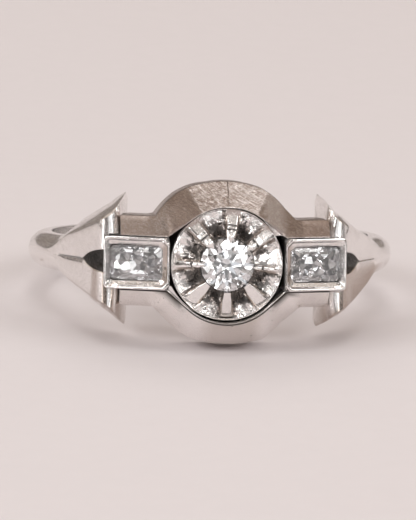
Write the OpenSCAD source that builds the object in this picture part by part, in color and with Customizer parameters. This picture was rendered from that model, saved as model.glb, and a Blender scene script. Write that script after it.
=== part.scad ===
// Three-stone ring, lying on its side with the head to the front.
// Inside the modules the ring stands in its own frame: X runs across the head,
// Y is the finger's axis and Z points out of the head. lay() puts it to rest.

/* [Band] */
// Radius of the finger hole
bore_r = 8.6; // [8.5:0.05:8.7]
// Thickness of the band at its middle
band_t = 1.25; // [1.15:0.05:1.35]
// Width of the band
band_w = 1.9; // [1.8:0.05:2]
// Height of the band's flat sides above the finger
band_side = 0.45; // [0.4:0.05:0.5]

/* [Shoulders] */
// Distance from the middle of the head to the centre of a shoulder's roll
roll_x = 6; // [5.95:0.05:6.05]
// Height of the roll's centre above the finger's axis
roll_h = 8.75; // [8.7:0.05:8.85]
// Radius of the roll at a shoulder's head end
roll_r = 0.7; // [0.6:0.05:0.75]
// Distance from the middle of the head to the foot of a shoulder's end wall
wall_x = 4.92; // [4.88:0.02:4.96]
// Half width over the shoulder tips
tip_y = 3.42; // [3.3:0.02:3.5]
// Half width of a shoulder at its roll
roll_y = 2.5; // [2.4:0.05:2.6]
// Distance from the middle of the head to the point of the split
split_x = 7.36; // [7.2:0.04:7.5]
// Depth of the groove in front of the split
groove_d = 0.1; // [0.06:0.02:0.14]

/* [Rails] */
// Inner radius of a rail's bow round the head
bow_r = 3.06; // [3.04:0.01:3.08]
// Width of a rail's face over the bow, seen from the front
rail_w = 1.25; // [1.21:0.02:1.29]
// Width of a rail's face beside the side settings
arm_w = 0.95; // [0.9:0.01:1]
// Height of the bow's inner edge above the finger's axis
bow_h = 12; // [11.9:0.05:12.1]
// Fall of the bow's face from its inner to its outer edge
bow_fall = 1.5; // [1.3:0.1:1.6]
// Fall of an arm's face from its inner to its outer edge
arm_fall = 1; // [0.9:0.05:1.1]
// Angle from the top of the bow to where it runs into a straight slope
slope_a = 42; // [41:0.2:43]

/* [Centre setting] */
// Radius of the round head
head_r = 2.95; // [2.9:0.01:2.96]
// Height of the head's rim above the finger's axis
rim_h = 11.25; // [11.15:0.05:11.3]
// Height of the claws beside the stone
claw_h = 11.82; // [11.75:0.01:11.85]
// Number of claws
claws = 8; // [8]
// Number of claws, from the right one over the top, that end in a bead
beads = 5; // [5]
// Radius of a claw's bead
bead_r = 0.21; // [0.19:0.01:0.23]

/* [Side settings] */
// Length of a side setting
box_l = 3.72; // [3.6:0.04:3.76]
// Width of a side setting
box_w = 2.74; // [2.7:0.01:2.75]
// Depth of a side setting
box_d = 2.7; // [2.6:0.05:2.72]
// Backward lean of a side setting
box_a = 24; // [23:0.5:25]
// Thickness of the edge round a side stone
box_edge = 0.12; // [0.1:0.01:0.14]

/* [Stones] */
// Diameter of the round stone
round_d = 2.84; // [2.78:0.02:2.88]
// Length of a side stone
side_l = 2.9; // [2.8:0.02:2.94]
// Width of a side stone
side_w = 1.8; // [1.76:0.02:1.84]

/* [Fit] */
// Gap between a piece and the one that carries it
gap = 0.03; // [0.025:0.005:0.035]

/* [Hidden] */
$fn = 96;

// Reach of the cutting solids, well past the ring
far = 20;

// Band: a flat inside, low flat sides and a round back
band_r = bore_r + band_t;
band_round = (pow(band_w / 2, 2) + pow(band_t - band_side, 2)) / (2 * (band_t - band_side));
// The band starts a little inside the finger hole, which is cut last
band_skin = 0.4;
band_in = bore_r - band_skin;
// Half of the angle at the head where the round band is left out
band_gap_a = 42;

// Shoulders: the band's outer circle, a straight flank tangent to the roll, and the roll
shoulder_drop = 0.03;
shoulder_r = band_r - shoulder_drop;
roll_dist = norm([roll_x, roll_h]);
flank_a = atan2(roll_h, roll_x) - acos((shoulder_r - roll_r) / roll_dist);
flank_dir = [cos(flank_a), sin(flank_a)];
wall_foot_h = 6.6;
shoulder_core = [[wall_x + 1, 5.4], [8, 2.5]];
shoulder_reach = 8;
shoulder_low = -0.5;
shoulder_top = 5.5;
// Half outline of the split as [distance from its point, half width]
split_half = [[0.1, 0.16], [0.26, 0.32], [0.48, 0.46], [0.8, 0.56], [1.2, 0.62], [3.4, 0.62]];
tip_x = 5.12;
point_x = 9.98;
// Hollow of the end wall between the tips, from tip to middle
shoulder_end = [[4.98, 3.12], [4.84, 2.4], [4.7, 0]];
groove_l = 6;

// Floor between the rails, which the three settings stand on
floor_r = 9.15;
floor_y = 1.36;
floor_x = 7;
floor_hole_r = 0.9;

// Rails
arm_y = 1.42;
arm_h = 11.3;
arm_start_x = 3.15;
arm_corner_x = 3.4;
arm_end_x = 5.52;
rail_foot_r = bore_r + 0.02;
edge_bevel = 0.07;
// Height under which no rail reaches before the finger hole is cut
rail_low = 4;

// Round stone, as shares of its diameter
round_mains = 8;
round_r = round_d / 2;
table_r = 0.57 * round_r;
star_r = 0.8 * round_r;
crown_h = 0.15 * round_d;
round_girdle = 0.03 * round_d;
pavilion_h = 0.43 * round_d;
lower_r = 0.24 * round_r;
round_h = 11.48;

// Head
head_foot_h = 9.2;
head_foot_r = 1.7;
head_waist_h = 10.3;
head_waist_r = 2.35;
rim_wall = 0.55;
seat_hole_r = 0.75;
claw_slope_a = atan2(claw_h - rim_h, head_r - round_r);
hollow_apex_r = 1.02;
hollow_lift_a = 31;
hollow_slope = 0.79;
// How far a bead reaches in over the stone's edge
bead_over = 0.12;
step_r = 1.86;
step_d = 0.13;

// Side stones
side_corner = 0.16;
side_table_corner = 0.112;
side_table_in = 0.34;
side_crown_h = 0.26;
side_girdle = 0.05;
side_pavilion_h = 0.86;
side_keel = 0.3;
// Where the pavilion's corner facets meet, as shares of its depth, length and width
side_mid_share = 0.42;
side_mid_l = 0.34;
side_mid_w = 0.27;
side_sink = 0.4;
// How far a side stone sits outward of its setting's middle
side_off = 0.18;

// Side settings
box_x = 4.72;
box_h = 11;
box_inner_x = 3.04;
box_chamfer = 0.32;
box_round = 0.22;
box_hole_l = 1.9;
box_hole_w = 1;
// How far below its setting the cut for a light hole starts
box_hole_over = 1;

// Rest: the lower rail's foot and the back of the band carry the ring
rest_tilt = atan((bow_r + rail_w - band_w / 2) / (rail_foot_r + bore_r + band_side));
rest_z = (bore_r + band_side) * sin(rest_tilt) + band_w / 2 * cos(rest_tilt);
rest_front = bow_h * cos(rest_tilt) + bow_r * sin(rest_tilt);
rest_back = (band_r - band_round) * cos(rest_tilt) + band_round;
rest_y = (rest_front - rest_back) / 2;

// Puts a piece from the ring's own frame to where it rests
module lay() {
    translate([0, rest_y, rest_z]) rotate([90 - rest_tilt, 0, 0]) children();
}

module both_sides() {
    children();
    mirror([1, 0, 0]) children();
}

// Extrudes a drawing in the X-Z plane along the finger's axis, to both sides of it
module along_finger(width) {
    rotate([90, 0, 0]) linear_extrude(height = width, center = true) children();
}

module finger(r) {
    along_finger(far) circle(r = r);
}

// Shank: band, split shoulders and the floor under the settings

module band() {
    rotate([90, 0, 0])
        rotate_extrude(angle = 360 - 2 * band_gap_a, start = 90 + band_gap_a)
            intersection() {
                translate([band_in, -band_w / 2]) square([band_r + band_skin - band_in, band_w]);
                union() {
                    translate([band_r - band_round, 0]) circle(r = band_round);
                    translate([band_in, -band_w / 2]) square([bore_r + band_side - band_in, band_w]);
                }
            }
}

// Right shoulder seen along the finger; grow leaves room for a piece beside it
module shoulder_profile(grow = 0) {
    r = roll_r + grow;
    roll = [roll_x, roll_h];
    foot = [wall_x - grow, wall_foot_h];
    wall_a = atan2(foot.y - roll.y, foot.x - roll.x) - acos(r / norm(roll - foot));
    union() {
        intersection() {
            circle(r = shoulder_r);
            translate([0, shoulder_low]) square([far, shoulder_top - shoulder_low]);
        }
        translate(roll) circle(r = r);
        polygon(concat(
            [shoulder_r * flank_dir, roll + r * flank_dir, roll, roll + r * [cos(wall_a), sin(wall_a)], foot],
            shoulder_core
        ));
    }
}

// Right shoulder seen from the front: a point at the band, tips at the head
module shoulder_outline() {
    half = concat([[point_x, 0], [roll_x, roll_y], [tip_x, tip_y]], shoulder_end);
    polygon(half);
    mirror([0, 1]) polygon(half);
}

// The split: a pointed arch that runs on as a slot up to the end wall
module split_outline() {
    polygon(concat(
        [[split_x, 0]],
        [for (p = split_half) [split_x - p.x, p.y]],
        [for (i = [len(split_half) - 1:-1:0]) [split_x - split_half[i].x, -split_half[i].y]]
    ));
}

module shoulder() {
    intersection() {
        along_finger(shoulder_reach) shoulder_profile();
        linear_extrude(height = far) shoulder_outline();
    }
}

// Fine groove down the middle of the flank, up to the split
module groove() {
    side = groove_d * sqrt(2);
    rise = 1;
    translate([band_r * flank_dir.x, 0, band_r * flank_dir.y])
        rotate([0, -flank_a, 0])
            translate([0, 0, rise])
                rotate([0, 0, 45])
                    cube([side, side, groove_l], center = true);
}

module floor_plate() {
    difference() {
        intersection() {
            finger(floor_r);
            linear_extrude(height = far) union() {
                circle(r = bow_r - gap);
                square([2 * floor_x, 2 * floor_y], center = true);
            }
        }
        cylinder(r = floor_hole_r, h = far);
        both_sides() side_place()
            translate([-box_hole_l / 2, -box_hole_w / 2, -far / 4]) cube([box_hole_l, box_hole_w, far / 4]);
    }
}

module shank() {
    color("gainsboro") lay() difference() {
        union() {
            difference() {
                union() {
                    band();
                    both_sides() shoulder();
                }
                both_sides() linear_extrude(height = far) split_outline();
                both_sides() groove();
            }
            floor_plate();
        }
        finger(bore_r);
        both_sides() side_box(gap);
    }
}

// Rails: one bow over the head and one under it, each with an arm along both side settings

module bow_section() {
    outer = bow_r + rail_w;
    outer_h = bow_h - bow_fall;
    polygon([
        [bow_r, rail_low],
        [bow_r, bow_h],
        [outer - edge_bevel, outer_h + edge_bevel * bow_fall / rail_w],
        [outer, outer_h - edge_bevel],
        [outer, rail_low],
    ]);
}

module bow() {
    rotate([0, 0, 90 - slope_a]) rotate_extrude(angle = 2 * slope_a) bow_section();
}

// Straight slope that runs on from the end of the bow
module bow_slope() {
    slope_l = 2.6;
    overlap = 0.05;
    intersection() {
        rotate([0, 0, 90 - slope_a])
            translate([0, overlap, 0])
                rotate([90, 0, 0]) linear_extrude(height = slope_l) bow_section();
        translate([-far / 2, arm_y, 0]) cube([far, far, far]);
    }
}

// Arm along a side setting, leaning back with it
module arm() {
    outer = arm_y + arm_w;
    deep = 8;
    run_in = 2;
    intersection() {
        translate([arm_corner_x, 0, arm_h])
            rotate([0, box_a, 0])
                translate([-run_in, 0, 0])
                    rotate([90, 0, 90])
                        linear_extrude(height = 3 * run_in) polygon([
                            [arm_y, -deep],
                            [arm_y, 0],
                            [outer - edge_bevel, edge_bevel - arm_fall],
                            [outer, -edge_bevel - arm_fall],
                            [outer, -deep],
                        ]);
        translate([arm_start_x, 0, rail_low]) cube([arm_end_x - arm_start_x, far, far]);
    }
}

module rail() {
    difference() {
        intersection() {
            union() {
                bow();
                both_sides() bow_slope();
                both_sides() arm();
            }
            finger(bow_h);
        }
        finger(rail_foot_r);
        both_sides() along_finger(shoulder_reach) shoulder_profile(gap);
    }
}

module upper_rail() {
    color("silver") lay() rail();
}

module lower_rail() {
    color("gainsboro") lay() mirror([0, 1, 0]) rail();
}

// Centre setting: a round head with claws round the stone and a hollow between each two

module head_body() {
    rotate_extrude() polygon([
        [seat_hole_r, head_foot_h],
        [head_foot_r, head_foot_h],
        [head_waist_r, head_waist_h],
        [head_r, rim_h - rim_wall],
        [head_r, rim_h],
        [round_r, claw_h],
        [seat_hole_r, claw_h],
    ]);
}

module hollow() {
    reach = 4;
    point_r = 0.02;
    translate([hollow_apex_r, 0, claw_h + (round_r - hollow_apex_r) * tan(claw_slope_a)])
        rotate([0, 90 + claw_slope_a - hollow_lift_a, 0])
            cylinder(h = reach, r1 = point_r, r2 = point_r + reach * hollow_slope);
}

// Room for the round stone and the light that reaches it from behind
module round_room() {
    rotate_extrude() polygon([
        [0, round_h - round_girdle - pavilion_h - gap],
        [round_r + gap, round_h - round_girdle - gap],
        [round_r + gap, round_h + gap],
        [table_r + gap, round_h + crown_h + 2 * gap],
        [0, round_h + crown_h + 2 * gap],
    ]);
}

// One claw's bead, drawn out towards the rim
module claw_bead() {
    bead_in = round_r - bead_over;
    bead_h = claw_h + gap;
    tail = 0.42;
    translate([bead_in, 0, bead_h]) sphere(r = bead_r);
    translate([bead_in, 0, bead_h]) rotate([0, 90, 0]) cylinder(r = bead_r, h = tail);
    translate([bead_in + tail, 0, bead_h]) sphere(r = bead_r);
}

module claw_step() {
    rotate_extrude() translate([step_r, claw_h - (step_r - round_r) * tan(claw_slope_a)])
        rotate(45) square(step_d, center = true);
}

module centre_setting() {
    color("gainsboro") lay() difference() {
        union() {
            difference() {
                head_body();
                for (i = [0:claws - 1]) rotate([0, 0, (i + 0.5) * 360 / claws]) hollow();
                claw_step();
                translate([0, 0, round_h]) cylinder(r = round_r + gap, h = far);
            }
            for (i = [0:beads - 1]) rotate([0, 0, i * 360 / claws]) claw_bead();
        }
        round_room();
    }
}

// Side settings: a box with thin edges that leans back with the finger

module side_place() {
    translate([box_x, 0, box_h]) rotate([0, box_a, 0]) children();
}

// Box outline: corners cut off beside the head and rounded at the outer end
module box_outline(grow = 0) {
    l = box_l / 2 + grow;
    w = box_w / 2 + grow;
    union() {
        polygon([
            [-l, -w + box_chamfer],
            [-l + box_chamfer, -w],
            [l - box_round, -w],
            [l - box_round, w],
            [-l + box_chamfer, w],
            [-l, w - box_chamfer],
        ]);
        translate([0, -w + box_round]) square([l, 2 * w - 2 * box_round]);
        for (s = [-1, 1]) translate([l - box_round, s * (w - box_round)]) circle(r = box_round);
    }
}

module side_box(grow = 0) {
    intersection() {
        side_place() translate([0, 0, -box_d - grow])
            linear_extrude(height = box_d + 2 * grow) box_outline(grow);
        translate([box_inner_x - grow, -far / 2, 0]) cube([far, far, far]);
    }
}

// Pocket whose long walls slope in from the thin edge to the stone
module side_pocket() {
    l = box_l / 2 - box_edge;
    w = box_w / 2 - box_edge;
    above = 0.05;
    corners = [[-1, -1], [1, -1], [1, 1], [-1, 1]];
    points = concat(
        [for (c = corners)
            [side_off + c.x * (side_l / 2 + gap), c.y * (side_w / 2 + gap), -side_sink - side_girdle - gap]],
        [for (c = corners) [c.x * l, c.y * w, above]]
    );
    faces = [[0, 1, 2, 3], [7, 6, 5, 4], [0, 4, 5, 1], [1, 5, 6, 2], [2, 6, 7, 3], [3, 7, 4, 0]];
    polyhedron(points, faces);
}

module right_box_setting() {
    difference() {
        side_box();
        side_place() {
            side_pocket();
            translate([side_off, 0, 0]) side_stone(gap);
            translate([-box_hole_l / 2, -box_hole_w / 2, -box_d - box_hole_over])
                cube([box_hole_l, box_hole_w, box_d]);
        }
    }
}

module right_setting() {
    color("gainsboro") lay() right_box_setting();
}

module left_setting() {
    color("gainsboro") lay() mirror([1, 0, 0]) right_box_setting();
}

// Stones

function polar(r, a, z) = [r * cos(a), r * sin(a), z];

// Height of a main facet over the point at radius r, half a facet off its middle
function crown_at(r) = crown_h * (round_r - r * cos(180 / round_mains)) / (round_r - table_r);
function pavilion_at(r) = -round_girdle - pavilion_h * (1 - r * cos(180 / round_mains) / round_r);

// Round brilliant: table, 8 stars, 8 kites, 16 upper and 16 lower halves, 8 mains
module centre_diamond() {
    n = round_mains;
    half = 360 / n / 2;
    points = concat(
        [for (i = [0:n - 1]) polar(table_r, 2 * i * half, crown_h)],
        [for (i = [0:n - 1]) polar(star_r, (2 * i + 1) * half, crown_at(star_r))],
        [for (i = [0:2 * n - 1]) polar(round_r, i * half, 0)],
        [for (i = [0:2 * n - 1]) polar(round_r, i * half, -round_girdle)],
        [for (i = [0:n - 1]) polar(lower_r, (2 * i + 1) * half, pavilion_at(lower_r))],
        [[0, 0, -round_girdle - pavilion_h]]
    );
    star = n;
    top = 2 * n;
    low = 4 * n;
    mid = 6 * n;
    tip = 7 * n;
    faces = concat(
        [[for (i = [n - 1:-1:0]) i]],
        [for (i = [0:n - 1]) [i, (i + 1) % n, star + i]],
        [for (i = [0:n - 1]) [i, star + i, top + 2 * i, star + (i + n - 1) % n]],
        [for (i = [0:n - 1]) [star + i, top + 2 * i + 1, top + 2 * i]],
        [for (i = [0:n - 1]) [star + i, top + (2 * i + 2) % (2 * n), top + 2 * i + 1]],
        [for (i = [0:2 * n - 1]) [top + i, top + (i + 1) % (2 * n), low + (i + 1) % (2 * n), low + i]],
        [for (i = [0:n - 1]) [low + 2 * i, low + 2 * i + 1, mid + i]],
        [for (i = [0:n - 1]) [low + 2 * i + 1, low + (2 * i + 2) % (2 * n), mid + i]],
        [for (i = [0:n - 1]) [low + 2 * i, mid + i, tip, mid + (i + n - 1) % n]]
    );
    color("white") lay() translate([0, 0, round_h]) polyhedron(points, faces);
}

// Ring of eight points round a rectangle with cut corners, anticlockwise from the right
function cut_ring(l, w, c, z) = [
    [l / 2, -w / 2 + c, z], [l / 2, w / 2 - c, z],
    [l / 2 - c, w / 2, z], [-l / 2 + c, w / 2, z],
    [-l / 2, w / 2 - c, z], [-l / 2, -w / 2 + c, z],
    [-l / 2 + c, -w / 2, z], [l / 2 - c, -w / 2, z]
];

// Oblong stone: stepped crown over a pavilion of long triangles; grow leaves room round it
module side_stone(grow = 0) {
    l = side_l + 2 * grow;
    w = side_w + 2 * grow;
    rim = -side_sink;
    low = rim - side_girdle - grow;
    deep = low - side_pavilion_h;
    mid = low - side_mid_share * side_pavilion_h;
    points = concat(
        cut_ring(l - 2 * side_table_in, w - 2 * side_table_in, side_table_corner, rim + side_crown_h + grow),
        cut_ring(l, w, side_corner, rim + grow),
        cut_ring(l, w, side_corner, low),
        [[l / 2, 0, low], [0, w / 2, low], [-l / 2, 0, low], [0, -w / 2, low]],
        [for (s = [[1, 1], [-1, 1], [-1, -1], [1, -1]]) [s.x * l * side_mid_l, s.y * w * side_mid_w, mid]],
        [[side_keel, 0, deep], [-side_keel, 0, deep]]
    );
    faces = concat(
        [[7, 6, 5, 4, 3, 2, 1, 0]],
        [for (i = [0:7]) [i, (i + 1) % 8, 8 + (i + 1) % 8, 8 + i]],
        [for (i = [0:2:6]) [8 + i, 9 + i, 17 + i, 24 + i / 2, 16 + i]],
        [for (i = [1:2:7]) [8 + i, 8 + (i + 1) % 8, 16 + (i + 1) % 8, 16 + i]],
        [[16, 24, 31], [24, 17, 28], [18, 25, 28], [25, 19, 29]],
        [[20, 26, 29], [26, 21, 30], [22, 27, 30], [27, 23, 31]],
        [[17, 18, 28], [19, 20, 29], [21, 22, 30], [23, 16, 31]],
        [[24, 28, 32], [24, 32, 31], [26, 30, 33], [26, 33, 29]],
        [[25, 29, 33], [25, 33, 32], [25, 32, 28], [27, 31, 32], [27, 32, 33], [27, 33, 30]]
    );
    polyhedron(points, faces);
}

module right_diamond() {
    color("white") lay() side_place() translate([side_off, 0, 0]) side_stone();
}

module left_diamond() {
    color("white") lay() mirror([1, 0, 0]) side_place() translate([side_off, 0, 0]) side_stone();
}

shank();
upper_rail();
lower_rail();
centre_setting();
left_setting();
right_setting();
centre_diamond();
left_diamond();
right_diamond();
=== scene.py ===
import logging
import math
from collections.abc import Callable, Sequence
from dataclasses import dataclass
from enum import Enum
from typing import Any

import bmesh
import bpy
from mathutils import Matrix, Vector


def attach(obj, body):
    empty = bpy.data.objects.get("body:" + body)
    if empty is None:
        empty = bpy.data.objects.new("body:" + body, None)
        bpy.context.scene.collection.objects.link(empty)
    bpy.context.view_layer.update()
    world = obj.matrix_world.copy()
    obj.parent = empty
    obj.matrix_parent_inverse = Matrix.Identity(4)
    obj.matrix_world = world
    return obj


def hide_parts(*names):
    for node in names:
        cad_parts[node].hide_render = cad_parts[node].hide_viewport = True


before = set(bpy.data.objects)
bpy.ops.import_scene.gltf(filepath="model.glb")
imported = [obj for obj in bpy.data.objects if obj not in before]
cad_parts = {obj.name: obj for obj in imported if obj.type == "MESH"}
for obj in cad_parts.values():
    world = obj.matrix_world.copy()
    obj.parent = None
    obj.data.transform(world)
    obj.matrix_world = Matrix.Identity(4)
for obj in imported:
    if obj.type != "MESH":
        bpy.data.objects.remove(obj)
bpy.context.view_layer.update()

LOG = logging.getLogger("ring")
MM = 0.001
MERGE = 0.001
Point = tuple[float, float, float]
Colour = tuple[float, float, float]
Span = tuple[float, float]
Window = tuple[float, float, float, float]
Rows = tuple[tuple[float, float], ...]
Section = list[Vector]
Mark = Callable[[Vector], float]


class Side(Enum):
    """Which side of the head a paired piece is on."""

    LEFT = -1
    RIGHT = 1


def smooth(low: float, high: float, x: float) -> float:
    """Smooth step from 0 at low to 1 at high."""
    t = min(1.0, max(0.0, (x - low) / (high - low)))
    return t * t * (3 - 2 * t)


def within(window: Window, x: float) -> float:
    """Share that rises over the window's first two places and falls again over its last two."""
    return smooth(window[0], window[1], x) * smooth(window[3], window[2], x)


def blend(a: float, b: float, t: float) -> float:
    """Value between a and b at share t."""
    return a + (b - a) * t


def table(x: float, rows: Sequence[tuple[float, float]]) -> float:
    """Height at x of a line through points that are listed by rising x."""
    for (x0, y0), (x1, y1) in zip(rows, rows[1:]):
        if x <= x1:
            return y0 + (y1 - y0) * (x - x0) / (x1 - x0)
    return rows[-1][1]


# ---- Rest


@dataclass(frozen=True)
class Rest:
    """Where the ring lies: from its own frame, in millimetres, to the floor's, in metres.

    In the ring's own frame X runs across the head, Y is the finger's axis and Z points out of the head.
    """

    tilt: float = math.radians(10.766416685)
    shift_y: float = 1.3334038978
    shift_z: float = 2.6238670706

    def matrix(self) -> Matrix:
        """Turn, shift and scale of a piece that was made in the ring's own frame."""
        s, c = math.sin(self.tilt), math.cos(self.tilt)
        turn = Matrix(((1, 0, 0, 0), (0, s, -c, self.shift_y), (0, c, s, self.shift_z), (0, 0, 0, 1)))
        return Matrix.Scale(MM, 4) @ turn

    def direction(self, v: Vector) -> Vector:
        """A direction of the ring's own frame, as the floor's frame sees it."""
        return (self.matrix().to_3x3() @ v).normalized()

    def point(self, v: Vector) -> Vector:
        """A point of the ring's own frame, in metres over the floor."""
        return self.matrix() @ v


REST = Rest()


# ---- Shader sums


class Value:
    """A number that varies over a surface, with Python's signs for sums on it."""

    def __init__(self, recipe: "Recipe", socket: bpy.types.NodeSocket) -> None:
        """Wraps an output socket of the recipe's tree."""
        self.recipe = recipe
        self.socket = socket

    def _sum(self, operation: str, a: Any, b: Any = 0.0) -> "Value":
        """Adds one Math node.

        Args:
            operation: the node's operation.
            a: first input, a value or a number.
            b: second input.

        Returns:
            The node's result.
        """
        node = self.recipe.node("ShaderNodeMath", {"operation": operation}, {0: a, 1: b})
        return Value(self.recipe, node.outputs[0])

    def __add__(self, other: Any) -> "Value":
        """self + other."""
        return self._sum("ADD", self, other)

    def __sub__(self, other: Any) -> "Value":
        """self - other."""
        return self._sum("SUBTRACT", self, other)

    def __rsub__(self, other: Any) -> "Value":
        """other - self."""
        return self._sum("SUBTRACT", other, self)

    def __mul__(self, other: Any) -> "Value":
        """self * other."""
        return self._sum("MULTIPLY", self, other)

    def __abs__(self) -> "Value":
        """abs(self)."""
        return self._sum("ABSOLUTE", self)

    def max(self, other: Any) -> "Value":
        """The greater of self and other."""
        return self._sum("MAXIMUM", self, other)

    __radd__ = __add__
    __rmul__ = __mul__


class Recipe:
    """The nodes of one material."""

    def __init__(self, name: str) -> None:
        """Starts an empty material of that name."""
        self.material = bpy.data.materials.new(name)
        self.material.use_nodes = True
        self.tree = self.material.node_tree
        self.tree.nodes.clear()
        self.place: Any = None

    def node(
        self, kind: str, settings: dict[str, Any] | None = None, inputs: dict[Any, Any] | None = None,
    ) -> bpy.types.Node:
        """Adds a node.

        Args:
            kind: the node's type.
            settings: its own settings.
            inputs: a number, colour, Value or socket for each input, by name or number.

        Returns:
            The node.
        """
        made = self.tree.nodes.new(kind)
        for key, value in (settings or {}).items():
            setattr(made, key, value)
        for key, value in (inputs or {}).items():
            target = made.inputs[key]
            if isinstance(value, Value):
                value = value.socket
            if isinstance(value, bpy.types.NodeSocket):
                self.tree.links.new(value, target)
            else:
                target.default_value = (*value, 1) if target.type == "RGBA" and len(value) == 3 else value
        return made

    def spot(self, stretch: Point = (1, 1, 1), turn: Point = (0, 0, 0)) -> bpy.types.NodeSocket:
        """Place on the surface in millimetres of the ring's own frame.

        Args:
            stretch: how many times finer a pattern is along each axis.
            turn: further turn of the pattern, in degrees.

        Returns:
            A vector socket.
        """
        if self.place is None:
            where = self.node("ShaderNodeTexCoord").outputs["Object"]
            level = {"Rotation": (REST.tilt - math.pi / 2, 0, 0), "Scale": (1 / MM,) * 3}
            made = self.node("ShaderNodeMapping", {"vector_type": "POINT"}, {"Vector": where, **level})
            self.place = made.outputs[0]
        if stretch == (1, 1, 1) and turn == (0, 0, 0):
            return self.place
        angles = tuple(math.radians(v) for v in turn)
        turned = self.node("ShaderNodeMapping", {}, {"Vector": self.place, "Rotation": angles})
        return self.node("ShaderNodeMapping", {}, {"Vector": turned.outputs[0], "Scale": stretch}).outputs[0]

    def noise(self, scale: float, detail: float, where: Any = None) -> Value:
        """Noise from 0 to 1, with scale features to a millimetre."""
        inputs = {"Vector": where or self.spot(), "Scale": scale, "Detail": detail}
        return Value(self, self.node("ShaderNodeTexNoise", {}, inputs).outputs["Fac"])

    def cells(self, scale: float) -> Value:
        """Distance field of a cell pattern with scale cells to a millimetre."""
        inputs = {"Vector": self.spot(), "Scale": scale}
        return Value(self, self.node("ShaderNodeTexVoronoi", {}, inputs).outputs["Distance"])

    def chips(self, scale: float) -> Value:
        """Heights that break a surface into small flats turned at random, with scale flats to a millimetre."""
        cell = self.node("ShaderNodeTexVoronoi", {}, {"Vector": self.spot(), "Scale": scale}).outputs["Color"]
        lean = self.node("ShaderNodeVectorMath", {"operation": "SUBTRACT"}, {0: cell, 1: (0.5, 0.5, 0.5)})
        ends = {0: lean.outputs[0], 1: self.spot()}
        return Value(self, self.node("ShaderNodeVectorMath", {"operation": "DOT_PRODUCT"}, ends).outputs["Value"])

    def ease(self, value: Value, low: float, high: float) -> Value:
        """Value mapped smoothly from low..high to 0..1, and held there outside."""
        inputs = {0: value, 1: low, 2: high, 3: 0.0, 4: 1.0}
        return Value(self, self.node("ShaderNodeMapRange", {"interpolation_type": "SMOOTHSTEP"}, inputs).outputs[0])

    def tint(self, low: Any, high: Any, share: Any) -> bpy.types.NodeSocket:
        """Colour between low and high at share."""
        return self.node("ShaderNodeMix", {"data_type": "RGBA"}, {0: share, 6: low, 7: high}).outputs[2]

    def mark(self, name: str) -> Value:
        """Share from 0 to 1 that a piece carries at each of its points."""
        return Value(self, self.node("ShaderNodeAttribute", {"attribute_name": name}).outputs["Fac"])

    def bump(self, height: Value, distance: float) -> bpy.types.NodeSocket:
        """Normal of a surface that height, times distance in metres, raises."""
        inputs = {"Height": height, "Distance": distance, "Strength": 1.0}
        return self.node("ShaderNodeBump", {}, inputs).outputs[0]

    def principled(self, inputs: dict[str, Any]) -> bpy.types.Material:
        """Closes the recipe with a Principled shader and returns the material."""
        shader = self.node("ShaderNodeBsdfPrincipled", {}, inputs)
        self.node("ShaderNodeOutputMaterial", {}, {"Surface": shader.outputs[0]})
        return self.material


# ---- Finishes


@dataclass(frozen=True)
class Scratches:
    """Thin straight lines of one direction, where a stretched noise crosses a level."""

    scale: float
    detail: float
    stretch: Point
    turn: Point
    level: float
    width: float

    def share(self, r: Recipe) -> Value:
        """1 on the lines and 0 beside them."""
        noise = r.noise(self.scale, self.detail, r.spot(self.stretch, self.turn))
        return 1 - r.ease(abs(noise - self.level), 0.0, self.width)


@dataclass(frozen=True)
class Dots:
    """Small round specks: their number to a millimetre, their edge, and the share of a field they keep to."""

    scale: float
    edge: Span
    field: Span

    def share(self, r: Recipe, field: Value) -> Value:
        """1 on the specks and 0 beside them."""
        return r.ease(r.cells(self.scale), *self.edge) * r.ease(field, *self.field)


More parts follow.
